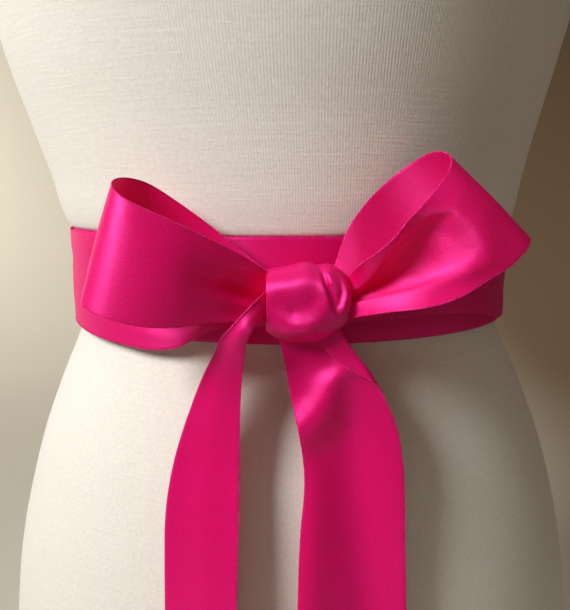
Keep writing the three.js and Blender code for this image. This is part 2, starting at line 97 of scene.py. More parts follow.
# The form at each height: half its width, its depth in front and behind, and its lean to the right
FORM = table("height half front back lean", [
    (0, 121, 97, 100, 0.5),
    (30, 124.5, 98.5, 103, 0.5),
    (72, 129, 100, 106, 1),
    (110, 131, 100.5, 106, 1),
    (140, 129, 100, 104, 1),
    (165, 125, 98.5, 100.5, 1),
    (188, 119.5, 95.8, 95.5, 1),
    (208, 113.5, 92.6, 91, 0.8),
    (224, 107.5, 88.8, 87, 0.6),
    (237, 102, 85.4, 83.6, 0.4),
    (248, 97, 82.6, 81, 0.2),
    (257, 93.8, 80.8, 79.4, 0),
    (276, 93, 80.4, 79, 0),
    (294, 93.6, 80.8, 79.4, 0),
    (297.2, 94.4, 81.5, 79.9, 0),
    (298.5, 96.6, 83.5, 81.7, 0),
    (300.2, 98.0, 84.3, 82.3, -0.1),
    (304, 99.6, 85, 82.8, -0.3),
    (310, 101.2, 86, 83.4, -0.6),
    (320, 103.4, 87.4, 84.2, -1),
    (340, 109.2, 90.6, 85.8, -2),
    (368, 117.5, 96.6, 88, -3),
    (404, 126, 102.5, 91, -3),
    (438, 129, 104.5, 94, -2),
    (474, 127.5, 100, 96, -1),
    (508, 128.5, 90.5, 96.5, 0),
    (538, 133, 79, 93, 0),
    (563, 136, 67.5, 86, 0),
    (584, 131, 58, 76, 0),
    (600, 113, 51, 66, 0),
    (614, 86, 46, 57, 0),
    (628, 62, 42.5, 49, 0),
    (646, 49.5, 41, 44.5, 0),
    (672, 46, 41, 43, 0),
    (693, 44, 39, 41, 0),
    (702, 36, 32, 33, 0),
    (705, 20, 18, 19, 0),
])
BUST = {"apart": 58, "height": 438, "rise": 13, "spread_across": 38, "spread_up": 46}

# The drum that the turns are wound on, straight from its lower to its upper row
DRUM = table("height half front back", [
    (254, 94.6, 82.2, 80.6),
    (302, 95.3, 82.6, 81.0),
])

# The outer strands from the knot round to the back, by degrees from the front: the heights of their
# selvages, how far they lie off the drum and how high they are gathered
OUTER_LEFT = table("angle top bottom offset gather", [
    (-5.9, 286.0, 268.5, 4.0, 0.5),
    (-10, 289.0, 268.0, 4.4, 0.6),
    (-17, 292.5, 264.8, 5.0, 0.5),
    (-24, 294.5, 258.2, 5.2, 0.2),
    (-32, 296.0, 256.2, 5.2, 0),
    (-42, 297.0, 256.6, 4.2, 0),
    (-53, 297.5, 257.0, 3.2, 0),
    (-66, 297.5, 258.0, 2.5, 0),
    (-85, 297.5, 258.8, 2.1, 0),
    (-115, 297.0, 259.0, 2.1, 0),
    (-145, 295.5, 258.0, 2.1, 0),
    (-165, 292.5, 256.0, 2.1, 0),
    (-180, 289.0, 255.2, 2.1, 0),
    (-193, 283.5, 256.4, 2.1, 0.1),
    (-203, 279.6, 257.6, 1.7, 0.2),
    (-213, 278.8, 258.6, 0.8, 0),
    (-225, 287.0, 259.8, 0.8, 0),
    (-234.6, 295.0, 260.2, 0.8, 0),
])

OUTER_RIGHT = table("angle top bottom offset gather", [
    (12.6, 286.5, 270.0, 3.6, 0.5),
    (17, 290.0, 269.0, 3.9, 0.6),
    (24, 294.5, 269.0, 3.6, 0.4),
    (34, 297.5, 269.2, 2.9, 0.1),
    (48, 298.6, 267.0, 2.4, 0),
    (62, 298.6, 262.2, 2.1, 0),
    (75, 298.2, 260.4, 2.1, 0),
    (95, 298.0, 260.2, 2.1, 0),
    (120, 298.0, 261.4, 2.1, 0),
    (138, 298.6, 269.4, 2.1, 0.1),
    (150, 299.0, 279.8, 1.7, 0.2),
    (160, 299.0, 280.4, 0.8, 0.1),
    (172, 298.9, 270.4, 0.8, 0),
    (190, 298.6, 262.6, 0.8, 0),
    (212, 298.2, 260.6, 0.8, 0),
    (234.6, 297.9, 260.2, 0.8, 0),
])

# The loops, from behind the knot round the bend to the knot's front
LEFT_LOOP = table("upper middle lower", [
    ((-8.4, -90.6, 287.3), (-8.4, -91.6, 278.0), (-8.4, -91.0, 268.6)),
    ((-17.2, -88.8, 294.0), (-18.0, -90.8, 280.5), (-19.5, -91.8, 267.0)),
    ((-27.3, -88.0, 302.2), (-30.0, -89.6, 285.5), (-32.5, -91.5, 268.5)),
    ((-37.2, -89.0, 309.6), (-40.8, -89.8, 291.5), (-44.5, -92.0, 272.0)),
    ((-46.6, -92.0, 316.0), (-50.6, -92.4, 297.0), (-55.0, -94.8, 275.6)),
    ((-52.8, -97.0, 318.1), (-58.0, -97.0, 299.0), (-63.0, -99.3, 277.8)),
    ((-56.0, -103.5, 317.4), (-61.9, -103.4, 299.0), (-67.0, -105.0, 279.3)),
    ((-54.8, -109.6, 314.8), (-60.2, -110.6, 297.5), (-65.4, -110.8, 278.2)),
    ((-50.3, -113.0, 311.5), (-54.4, -115.4, 294.5), (-58.5, -115.2, 275.6)),
    ((-43.0, -113.5, 308.0), (-45.0, -116.8, 290.8), (-47.2, -116.0, 272.9)),
    ((-34.1, -112.0, 303.8), (-35.0, -114.8, 288.0), (-36.3, -113.4, 272.0)),
    ((-25.3, -109.0, 299.0), (-26.0, -109.2, 285.8), (-26.8, -109.4, 272.8)),
    ((-16.2, -104.0, 293.8), (-17.0, -101.6, 283.0), (-18.0, -105.0, 272.4)),
    ((-8.4, -98.5, 288.3), (-8.4, -96.6, 279.6), (-8.4, -100.0, 271.8)),
])

RIGHT_LOOP = table("upper middle lower", [
    ((16.0, -89.2, 291.0), (21.0, -91.0, 281.0), (20.7, -91.5, 269.4)),
    ((19.5, -88.3, 300.5), (25.4, -89.6, 286.5), (30.0, -91.5, 271.5)),
    ((25.0, -87.0, 308.6), (33.5, -88.0, 293.5), (42.0, -92.0, 277.0)),
    ((32.0, -86.5, 315.8), (42.5, -87.5, 300.5), (53.0, -92.5, 284.0)),
    ((40.0, -88.0, 322.3), (51.5, -88.8, 307.0), (63.0, -92.5, 291.0)),
    ((46.5, -92.5, 326.0), (59.0, -92.6, 312.0), (71.5, -95.0, 296.3)),
    ((50.6, -98.5, 325.0), (64.0, -98.9, 312.5), (77.0, -99.7, 299.3)),
    ((50.0, -104.5, 321.3), (62.8, -105.4, 309.5), (75.4, -105.4, 296.3)),
    ((45.7, -108.6, 315.3), (57.0, -110.0, 303.5), (68.4, -109.6, 290.3)),
    ((39.3, -111.6, 308.7), (49.2, -109.0, 296.3), (59.5, -113.0, 286.4)),
    ((33.8, -112.0, 302.6), (42.0, -105.8, 290.3), (50.6, -115.4, 283.6)),
    ((28.0, -109.5, 297.0), (35.0, -102.4, 285.6), (41.0, -115.2, 281.2)),
    ((22.8, -104.5, 291.5), (27.6, -98.8, 282.3), (31.2, -111.0, 279.2)),
    ((20.4, -98.0, 287.0), (20.4, -96.4, 279.6), (20.4, -103.0, 275.6)),
])

# A tail's panel runs from the start to the end point of each row, and holds the shown share of the
# ribbon's width. The rest turns over round a fold. The panel is hollow by bow, deepest at the share bow_at.
LEFT_TAIL = table("start end shown bow bow_at", [
    ((-8.5, -103.2, 272.0), (-8.5, -103.0, 281.2), 1, 0.3, 0.5),
    ((-9.9, -105.5, 272.5), (-12.0, -107.5, 278.3), 1, 0.6, 0.5),
    ((-11.9, -108.0, 270.6), (-16.1, -109.5, 274.1), 1, 0.8, 0.5),
    ((-13.5, -108.0, 268.3), (-19.7, -108.5, 269.9), 1, 0.9, 0.5),
    ((-14.3, -106.5, 266.2), (-22.6, -105.5, 265.8), 0.97, 0.9, 0.5),
    ((-14.8, -104.5, 262.7), (-24.6, -102.5, 261.6), 0.9, 0.9, 0.5),
    ((-15.7, -102.5, 256.2), (-28.0, -99.5, 254.7), 0.82, 0.9, 0.5),
    ((-16.7, -102.0, 245.1), (-32.3, -97.5, 243.7), 0.74, 0.8, 0.5),
    ((-17.3, -104.0, 224.8), (-39.1, -97.0, 222.1), 0.71, 0.8, 0.5),
    ((-17.4, -108.0, 205.2), (-42.7, -98.5, 200.7), 0.73, 1, 0.5),
    ((-18.2, -113.0, 175.6), (-43.3, -101.5, 168.4), 0.76, 1, 0.5),
    ((-18.8, -114.0, 150.0), (-44.2, -102.5, 146.0), 0.77, 1, 0.5),
    ((-19.6, -114.4, 116.0), (-45.0, -103.0, 120.0), 0.77, 1, 0.5),
    ((-20.4, -114.4, 76.0), (-46.0, -103.0, 90.0), 0.77, 1, 0.5),
    ((-21.2, -114.0, 36.0), (-46.8, -102.5, 56.0), 0.77, 1, 0.5),
])

RIGHT_TAIL = table("start end shown bow bow_at", [
    ((-3.4, -93.4, 263.6), (19.1, -97.2, 263.6), 0.655, 0.3, 0.7),
    ((-1.5, -94.0, 254.7), (24.0, -98.0, 257.2), 0.705, 0.8, 0.66),
    ((-0.4, -95.0, 248.3), (27.8, -98.5, 249.9), 0.926, 1.8, 0.6),
    ((0.9, -95.5, 242.0), (32.2, -98.5, 242.9), 0.985, 2, 0.55),
    ((3.0, -96.0, 233.3), (36.2, -99.0, 234.3), 1, 2.6, 0.5),
    ((4.6, -97.0, 222.1), (38.3, -100.0, 223.2), 1, 3.6, 0.48),
    ((5.0, -98.0, 211.5), (39.1, -101.0, 212.8), 1, 4.2, 0.5),
    ((3.6, -100.0, 194.0), (39.5, -102.5, 195.3), 1, 4.2, 0.58),
    ((2.7, -103.0, 169.3), (40.3, -104.0, 170.0), 1, 4.0, 0.65),
    ((2.2, -104.5, 146.0), (40.2, -104.8, 149.0), 1, 3.6, 0.68),
    ((2.0, -105.0, 118.0), (40.0, -105.0, 124.0), 1, 3.0, 0.7),
    ((1.8, -105.0, 84.0), (39.8, -105.0, 92.0), 1, 2.4, 0.7),
    ((1.6, -104.6, 46.0), (39.4, -104.6, 62.0), 1, 2.0, 0.7),
])

# The knot's outline from left to right, and how far its front comes forward
KNOT = table("across top bottom front", [
    (-7.9, 287.8, 267.4, -104.8),
    (-4.5, 288.5, 265.2, -105.6),
    (0, 289.4, 264.0, -106.4),
    (5, 290.6, 264.0, -106.6),
    (9, 289.6, 264.2, -105.8),
    (13, 289.8, 265.6, -105.6),
    (17, 287.4, 268.4, -104.0),
    (19.9, 283.4, 271.6, -100.4),
])


# Creases, each a line of (along, across, height) on its ribbon, with its width on either side of the line.
# Along runs from the start of a ribbon, across from its lower selvage, and height outwards.

def crease(rows, left, right):
    """A ridge, or a trough where its height is below zero. Left is to the left when going along the line."""
    return {"rows": np.array(rows, float), "left": left, "right": right}


CREASES = {
    "turn_inner": [
        crease([(140, 12, 0.1), (165, 15, 0.3), (190, 13, 0.1)], 3, 4),
        crease([(205, 6, 0.1), (232, 4, 0.3), (262, 5, 0.1)], 2, 3),
    ],
    "turn_outer_left": [
        crease([(2, 8, -0.5), (20, 11, -0.5), (38, 15, -0.2)], 2, 2.5),
        crease([(3, 17, 0.5), (20, 20, 0.5), (44, 24, 0.1)], 3, 2),
        crease([(2, 28, -0.6), (16, 29, -0.5), (34, 31, -0.1)], 2.5, 2),
        crease([(14, 2.5, 0.3), (22.5, 2.5, 0.5), (28, 2.5, 0.3)], 1.5, 1.5),
        crease([(33, 4, 0.2), (43.4, 5.5, 0.6), (56, 5.5, 0.3)], 2.2, 1.8),
        crease([(92, 25, -0.1), (120, 27, -0.5), (148, 24, -0.1)], 3, 4),
        crease([(108, 12, 0.1), (140, 10, 0.5), (172, 13, 0.1)], 4, 3),
        crease([(205, 27, -0.1), (236, 24, -0.5), (262, 20, -0.1)], 3, 2.5),
        crease([(222, 10, 0.1), (254, 13, 0.6), (276, 15, 0.1)], 2.5, 3),
        crease([(262, 25, 0.1), (281, 22, 0.4), (300, 26, 0)], 2, 2),
    ],
    "turn_outer_right": [
        crease([(2, 24, -0.5), (14, 25, -0.5), (30, 27, -0.1)], 2, 2.5),
        crease([(2, 13, 0.4), (16, 15, 0.5), (34, 17, 0.1)], 2.5, 2),
        crease([(60, 9, -0.1), (88, 12, -0.5), (112, 11, -0.1)], 3, 3.5),
        crease([(80, 28, 0.1), (110, 26, 0.5), (146, 28, 0.1)], 4, 3),
        crease([(150, 14, -0.1), (178, 17, -0.5), (200, 19, -0.1)], 2.5, 3),
        crease([(176, 30, 0.1), (204, 27, 0.4), (226, 24, 0)], 3, 2.5),
    ],
    "loop_left": [
        crease([(5, 24, -0.4), (22, 26, -1.0), (44, 28, -0.4)], 4, 3.5),
        crease([(6, 12, 0.4), (24, 14, 0.8), (41, 17, 0.3)], 4.5, 4),
        crease([(50, 31, 0.2), (62, 27, 0.6), (70, 20, 0.1)], 4, 4.5),
        crease([(110, 19.6, -0.2), (118, 19, -1.0), (125, 17.8, -2.2), (131, 16.4, -2.8),
                (137.6, 15.4, -2.8)], 3.6, 3.2),
        crease([(116, 10.5, 0.2), (123.3, 10.2, 0.9), (129.8, 8.3, 1.2), (134, 7.5, 0.6)], 3.5, 3.5),
        crease([(106, 30, 0.1), (120.3, 31.7, 0.6), (128.6, 32.3, 1.0), (137.6, 35.3, 0.6)], 3.5, 3.5),
    ],
    "loop_right": [
        crease([(40, 40, 1.8), (36, 24, 2.4), (30, 10, 1.5)], 20, 15),
        crease([(8, 12, 0.2), (26, 15, 0.5), (46, 15, 0.2)], 5, 4.5),
        # The front ply's fold: a rim that is steep on its inner side, and the deep trough below it
        crease([(97, 38, 0), (101, 37.2, 0.7), (105, 36.2, 1.4), (110, 34.2, 2.0), (114.5, 31.8, 2.3),
                (119.5, 28.5, 2.3), (126, 21.5, 1.4)], 6, 1.6),
        crease([(82, 26, 0), (85, 28.2, -1.0), (89, 30.4, -2.2), (94, 31.8, -3.0), (99, 32, -3.4),
                (105, 31, -3.7), (110, 29, -3.8), (114, 26.5, -3.7), (118, 23.5, -3.2),
                (125, 17.5, -2.0)], 1.6, 7.5),
        crease([(90, 23, -0.8), (97, 22, -1.4), (104, 19, -1.0)], 7, 7),
        crease([(96, 38, 0), (87, 33.5, 0.8), (81, 27, 1.1), (79, 19, 1.1), (81.3, 11, 1.0),
                (88, 7.5, 0.4)], 4.5, 6),
        crease([(80, 7, 0), (90, 6.5, 1.0), (104, 6.5, 1.6), (118, 6, 1.4), (130, 6, 1.0)], 4, 3),
        crease([(78, -1, 0), (90, -1, -2.0), (104, -1, -3.0), (116, -1, -3.0), (130, -1, -2.4)], 4.2, 3),
    ],
    "tail_left": [
        crease([(8, 6, 0.3), (14, 6, 0.9), (26, 6, 1.0), (38, 7, 0.7), (54, 8, 0.2)], 10, 10),
        crease([(8, 33, -0.2), (14, 34, -0.8), (26, 33, -1.0), (38, 30, -0.6), (54, 28, -0.2)], 9, 10),
        crease([(70, 20, -0.1), (110, 17, -0.5), (150, 18, -0.1)], 5, 6),
        crease([(150, 8, 0.1), (185, 11, 0.5), (220, 9, 0.1)], 5, 6),
    ],
    "tail_right": [
        # The ridge slantwise across it, steeper on its upper side, and the raised edge below that
        crease([(8, 30, 0.2), (14, 25.5, 1.4), (19, 21.5, 3.0), (24, 18.5, 4.1), (29, 15, 4.6),
                (34, 10.5, 4.6), (38.5, 5, 4.4), (43, -1, 4.0)], 8, 5.5),
        crease([(60, 2, 1.6), (78, 3, 2.6), (105, 3, 2.6), (145, 4, 2.0), (190, 5, 1.4),
                (240, 6, 0.8)], 7, 7),
        crease([(150, 33, 0.1), (176, 32, 0.5), (205, 33, 0.1)], 5, 5),
    ],
}

# The knot's creases are lines of (x, z, height) on its front.
KNOT_CREASES = [
    # The main crease, with the sharp bright fold on its left
    crease([(7.3, 290.2, 0.3), (8.5, 288.2, 0.8), (9.7, 285.5, 1.2), (10.8, 282.1, 1.2), (11.9, 279.1, 1.0),
            (13.9, 275.4, 0.4)], 0.7, 3.0),
    crease([(8.9, 290.2, -1.2), (10.1, 288.0, -1.8), (11.3, 285.3, -1.8), (12.4, 281.9, -1.5),
            (13.5, 278.8, -1.1), (15.1, 275.6, -0.4)], 1.3, 0.8),
    # The petal beside it: its fold, its flat trough and its bright rim
    crease([(11.0, 290.4, 0.3), (12.3, 287.6, 0.9), (13.0, 284.6, 0.5)], 0.9, 0.8),
    crease([(14.4, 288.2, -0.4), (15.9, 286.0, -0.8), (16.8, 281.8, -0.9), (16.3, 278.4, -0.4)], 1.3, 1.2),
    crease([(16.2, 288.6, 0.6), (18.4, 285.3, 1.6), (18.8, 280.8, 2.2), (17.5, 276.6, 2.0),
            (15.4, 274.3, 0.6)], 1.5, 1.6),
    # The broad wrap: a lit upper fold, a soft hollow under it and a lit crescent round the hollow
    crease([(-6.5, 282.6, 0.2), (-2.0, 284.8, 0.5), (3.0, 286.0, 0.6), (6.6, 286.6, 0.3)], 4, 3.5),
    crease([(-2.6, 277.6, -0.9), (0.8, 276.2, -1.5), (4.2, 277.2, -1.0)], 3.6, 3.4),
    crease([(-2.4, 270.8, 0.5), (1.8, 269.6, 1.5), (5.6, 269.8, 1.9), (8.8, 272.2, 1.5),
            (10.4, 276.0, 0.8)], 3.0, 2.8),
    # A shallow pull at the wrap's lower left
    crease([(-7.4, 267.6, -0.4), (-3.0, 266.0, -0.7), (1.0, 265.6, -0.4)], 1.8, 1.8),
]


# Curves and surfaces

def smooth(rows, t):
    """Values at t, from 0 at the first row to 1 at the last, on a curve that runs straight past both ends."""
    last = len(rows) - 1
    place = np.asarray(t, float) * last
    before = np.clip(np.floor(place), 0, last - 1).astype(int)
    part = np.clip(place - before, 0, 1)
    beyond = place - before - part
    if rows.ndim > 1:
        part, beyond = part[..., None], beyond[..., None]
    a, b, c, d = (rows[np.clip(before + k, 0, last)] for k in (-1, 0, 1, 2))
    bend = 2 * a - 5 * b + 4 * c - d
    twist = 3 * (b - c) + d - a
    return b + 0.5 * part * (c - a + part * (bend + part * twist)) + beyond * (c - b)


def unit(vectors):
    """The vectors at a length of 1."""
    return vectors / np.linalg.norm(vectors, axis=-1, keepdims=True)


def points(x, y, z):
    """Points from their coordinates, each a number or an array."""
    return np.stack(np.broadcast_arrays(x, y, z), axis=-1).astype(float)


def drum_point(angle, height, offset):
    """A point on the drum at an angle in degrees from the front, moved out by the offset."""
    low, high = DRUM["height"]
    share = (height - low) / (high - low)
    half, front, back = (DRUM[name][0] + share * np.diff(DRUM[name])[0] for name in ("half", "front", "back"))
    s, c = np.sin(np.radians(angle)), np.cos(np.radians(angle))
    depth = np.where(c > 0, front, back)
    out = unit(points(s / half, -c / depth, 0))
    return points(half * s, -depth * c, height) + out * np.asarray(offset)[..., None]


def inner_turn(u, v):
    """The flat turn next to the form, from hidden end to hidden end."""
    angle = HIDDEN_END_ANGLE * (2 * u - 1)
    return drum_point(angle, WAIST_BOTTOM + RIBBON_WIDTH * v, np.full_like(u, INNER_OFFSET))


def outer_turn(rows):
    """A strand round the drum, gathered in waves across its width where the knot pulls it in."""
    def surface(u, v):
        angle, top, bottom, offset, gather = (
            smooth(rows[name], u) for name in ("angle", "top", "bottom", "offset", "gather"))
        waves = gather * np.cos(2 * math.pi * GATHER_WAVES * v)
        return drum_point(angle, bottom + (top - bottom) * v, offset + waves)
    return surface


def sections(rows):
    """A ribbon through curved sections, from the lower selvage over the middle to the upper one."""
    def surface(u, v):
        w = (2 * v - 1)[..., None]
        upper, middle, lower = (smooth(rows[name], u) for name in ("upper", "middle", "lower"))
        return lower * (w * w - w) / 2 + middle * (1 - w * w) + upper * (w * w + w) / 2
    return surface


def folded_ribbon(rows):
    """A ribbon with a bowed panel in each row, whose width past the panel's end turns over."""
    def surface(u, v):
        start, end, shown, bow, bow_at = (
            smooth(rows[name], u) for name in ("start", "end", "shown", "bow", "bow_at"))
        width = np.linalg.norm(end - start, axis=-1)
        along = unit(end - start)
        over = unit(np.cross(along, (0, 0, 1)))
        panel = np.minimum(shown, 1)
        share = np.minimum(v / panel, 1)
        dip = bow * np.exp(-((share - bow_at) / BOW_SPREAD) ** 2)
        folded = np.maximum(v - panel, 0) * RIBBON_WIDTH
        turn = np.minimum(folded / FOLD_RADIUS, math.pi)
        sideways = FOLD_RADIUS * np.sin(turn) - (folded - turn * FOLD_RADIUS)
        rise = FOLD_RADIUS * (1 - np.cos(turn)) - dip
        return start + along * (share * width + sideways)[..., None] + over * rise[..., None]
    return surface


def relief(creases, x, y):
    """How far cloth stands out of its plain form at each place."""
    total = np.zeros_like(x)
    for one in creases:
        rows = one["rows"]
        nearest, height, wide = np.full_like(x, np.inf), np.zeros_like(x), np.ones_like(x)
        for start, end in zip(rows[:-1], rows[1:]):
            run = end[:2] - start[:2]
            dx, dy = x - start[0], y - start[1]
            share = np.clip((dx * run[0] + dy * run[1]) / (run @ run), 0, 1)
            away = np.hypot(dx - share * run[0], dy - share * run[1])
            closer = away < nearest
            nearest = np.where(closer, away, nearest)
            height = np.where(closer, start[2] + share * (end[2] - start[2]), height)
            is_left = run[0] * dy - run[1] * dx > 0
            wide = np.where(closer, np.where(is_left, one["left"], one["right"]), wide)
        total += height * np.exp(-(nearest / wide) ** 2)
    return total


# Meshes

def link(name, mesh, material):
    """A piece of the object, with its finish, on the one body."""
    piece = bpy.data.objects.new(name, mesh)
    bpy.context.scene.collection.objects.link(piece)
    mesh.materials.append(material)
    mesh.shade_smooth()
    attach(piece, "root")
    return piece


def cloth_grid(steps):
    """A flat grid, and each vertex's share of the way along it and across it."""
    bm = bmesh.new()
    bmesh.ops.create_grid(bm, x_segments=steps[0], y_segments=steps[1], size=0.5)
    flat = np.array([vert.co[:2] for vert in bm.verts])
    return bm, (flat - flat.min(0)) / np.ptp(flat, axis=0)


def lay(bm, placed, cloth):
    """Moves a grid's vertices to their places, with their spots on the cloth as the UV map."""
    layer = bm.loops.layers.uv.new("cloth")
    for vert, place, spot in zip(bm.verts, placed, cloth):
        vert.co = place
        for loop in vert.link_loops:
            loop[layer].uv = spot


def thicken(piece):
    """Gives the ribbon its thickness, half on each side of its surface."""
    wall = piece.modifiers.new("wall", "SOLIDIFY")
    wall.thickness = RIBBON_THICKNESS * MM
    wall.offset = 0


def finished_mesh(name, bm):
    """The edited mesh as a mesh of its own."""
    mesh = bpy.data.meshes.new(name)
    bm.to_mesh(mesh)
    bm.free()
    return mesh


def even_stations(surface, span, count):
    """Places evenly spaced on the cloth along a surface's middle line, and that line's length."""
    fine = np.linspace(span[0], span[1], LENGTH_STEPS)
    line = surface(fine, np.full_like(fine, 0.5))
    run = np.concatenate([[0], np.cumsum(np.linalg.norm(np.diff(line, axis=0), axis=1))])
    return np.interp(np.linspace(0, run[-1], count), run, fine), run[-1]


def dressed(surface, creases, outward, u, v, along):
    """Points of the surface with its creases. Outward is 1 where its normal faces out, or else -1."""
    slope_u = surface(u + SLOPE_STEP, v) - surface(u - SLOPE_STEP, v)
    slope_v = surface(u, np.minimum(v + SLOPE_STEP, 1)) - surface(u, np.maximum(v - SLOPE_STEP, 0))
    normal = unit(np.cross(slope_u, slope_v))
    return surface(u, v) + normal * outward * relief(creases, along, v * RIBBON_WIDTH)[..., None]


def ribbon_mesh(name, surface, creases, outward, span, cell):
    """A grid of cloth laid on the surface, with its UV map in metres along and across the ribbon."""
    length = even_stations(surface, span, 2)[1]
    steps = round(length / cell), round(RIBBON_WIDTH / cell)
    stations = even_stations(surface, span, steps[0] + 1)[0]
    bm, share = cloth_grid(steps)
    u = np.interp(share[:, 0], np.linspace(0, 1, len(stations)), stations)
    placed = dressed(surface, creases, outward, u, share[:, 1], share[:, 0] * length) * MM
    lay(bm, placed, share * (length, RIBBON_WIDTH) * MM)
    bmesh.ops.recalc_face_normals(bm, faces=bm.faces)
    return finished_mesh(name, bm), length


def selvage_mesh(name, surface, creases, outward, span, length):
    """The two selvages: fine cords along the ribbon's edges, thicker at every pick."""
    count = 2 * round(length / PICK_SPACING) + 1
    u = even_stations(surface, span, count)[0]
    along = np.linspace(0, length, count)
    data = bpy.data.curves.new(name, "CURVE")
    data.dimensions = "3D"
    data.bevel_depth = SELVAGE_RADIUS * MM
    data.bevel_resolution = 1
    data.use_fill_caps = True
    for edge in (0.0, 1.0):
        path = dressed(surface, creases, outward, u, np.full_like(u, edge), along) * MM
        spline = data.splines.new("POLY")
        spline.points.add(count - 1)
        for k, (point, place) in enumerate(zip(spline.points, path)):
            point.co = (*place, 1)
            point.radius = 1.0 if k % 2 else PICK_GAP_SIZE
    curve = bpy.data.objects.new(name, data)
    mesh = bpy.data.meshes.new_from_object(curve)
    bpy.data.objects.remove(curve)
    return mesh


def ribbon(name, surface, outward, span, cell):
    """One stretch of the ribbon, with its selvages, in place of its solid."""
    creases = CREASES[name]
    mesh, length = ribbon_mesh(name, surface, creases, outward, span, cell)
    piece = link(name + "_cloth", mesh, SATIN)
    thicken(piece)
    cords = selvage_mesh(name + "_selvages", surface, creases, outward, span, length)
    edges = link(name + "_selvages", cords, SELVAGE)
    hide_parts(name)


def knot_point(t, angle, size):
    """A point of the knot's wrap, t across it from left to right and at an angle round it from its front."""
    x, top, bottom, front = (smooth(KNOT[name], t) for name in ("across", "top", "bottom", "front"))
    middle, half, depth = (top + bottom) / 2, size * (top - bottom) / 2, (KNOT_BACK - front) / 2
    s, c = np.sin(angle), np.cos(angle)
    z = middle + half * np.sign(s) * np.abs(s) ** (2 / KNOT_ROUNDNESS)
    y = KNOT_BACK - depth - size * depth * np.sign(c) * np.abs(c) ** (2 / KNOT_ROUNDNESS)
    return points(x, y - np.clip(c, 0, 1) * relief(KNOT_CREASES, x, z), z)


def knot_mesh(name, size, cell):
    """The knot's form as a tube, round its girth and across its width. A smaller one has closed ends."""
    steps = round(KNOT_GIRTH / cell), round(RIBBON_WIDTH / cell)
    bm, share = cloth_grid(steps)
    placed = knot_point(share[:, 1], (2 * share[:, 0] - 1) * math.pi, size) * MM
    lay(bm, placed, share * (KNOT_GIRTH, RIBBON_WIDTH) * MM)
    bmesh.ops.remove_doubles(bm, verts=bm.verts, dist=WELD * MM)
    if size < 1:
        bmesh.ops.holes_fill(bm, edges=[edge for edge in bm.edges if edge.is_boundary], sides=0)
    bmesh.ops.recalc_face_normals(bm, faces=bm.faces)
    return finished_mesh(name, bm)


def knot():
    """The knot's outer wrap, round the layers wound inside it."""
    piece = link("knot_wrap", knot_mesh("knot_wrap", 1, KNOT_CELL), SATIN)
    thicken(piece)
    inside = link("knot_inner_layers", knot_mesh("knot_inner_layers", KNOT_CORE_SIZE, 2 * KNOT_CELL),
                  SATIN)
    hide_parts("knot")


def bust_rise(x, height):
    """How far the plain bust stands out of the form's front."""
    up = np.exp(-((height - BUST["height"]) / BUST["spread_up"]) ** 2)
    bumps = sum(np.exp(-((x - side * BUST["apart"]) / BUST["spread_across"]) ** 2) for side in (-1, 1))
    return BUST["rise"] * up * bumps


def form_point(t, angle):
    """A point of the form, t up it from its base and at an angle round it from its front."""
    height, half, front, back, lean = (
        smooth(FORM[name], t) for name in ("height", "half", "front", "back", "lean"))
    s, c = np.sin(angle), np.cos(angle)
    x, y = half * s, -np.where(c > 0, front, back) * c
    rise = np.where(c > 0, bust_rise(x, height) * c ** 2, 0)
    return points(x + lean, y - rise, height)


def dress_form():
    """The form in its jersey cover. The UV map goes from 0 to 1 round it, and in metres up it."""
    bm, share = cloth_grid(FORM_CELLS)
    placed = form_point(share[:, 1], (2 * share[:, 0] - 1) * math.pi) * MM
    lay(bm, placed, zip(share[:, 0], placed[:, 2]))
    bmesh.ops.remove_doubles(bm, verts=bm.verts, dist=WELD * MM)
    rims = [edge for edge in bm.edges if edge.is_boundary]
    bmesh.ops.holes_fill(bm, edges=rims, sides=0)
    bmesh.ops.recalc_face_normals(bm, faces=bm.faces)
    piece = link("form_jersey", finished_mesh("form_jersey", bm), JERSEY)
    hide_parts("dress_form")


# Materials

def linear(code):
    """An sRGB hex colour as linear red, green, blue and alpha."""
    channels = [int(code[k:k + 2], 16) / 255 for k in (1, 3, 5)]
    return (*(c / 12.92 if c <= 0.04045 else ((c + 0.055) / 1.055) ** 2.4 for c in channels), 1.0)


def add(tree, kind, inputs=None, **settings):
    """A node with its settings. An input is a value, or another node's output to link from."""
    node = tree.nodes.new(kind)
    for name, value in settings.items():
        setattr(node, name, value)
    for name, value in (inputs or {}).items():
        if isinstance(value, bpy.types.NodeSocket):
            tree.links.new(value, node.inputs[name])
        else:
            node.inputs[name].default_value = value
    return node


def new_material(name):
    """A material with an empty node tree."""
    material = bpy.data.materials.new(name)
    material.use_nodes = True
    material.node_tree.nodes.clear()
    return material, material.node_tree


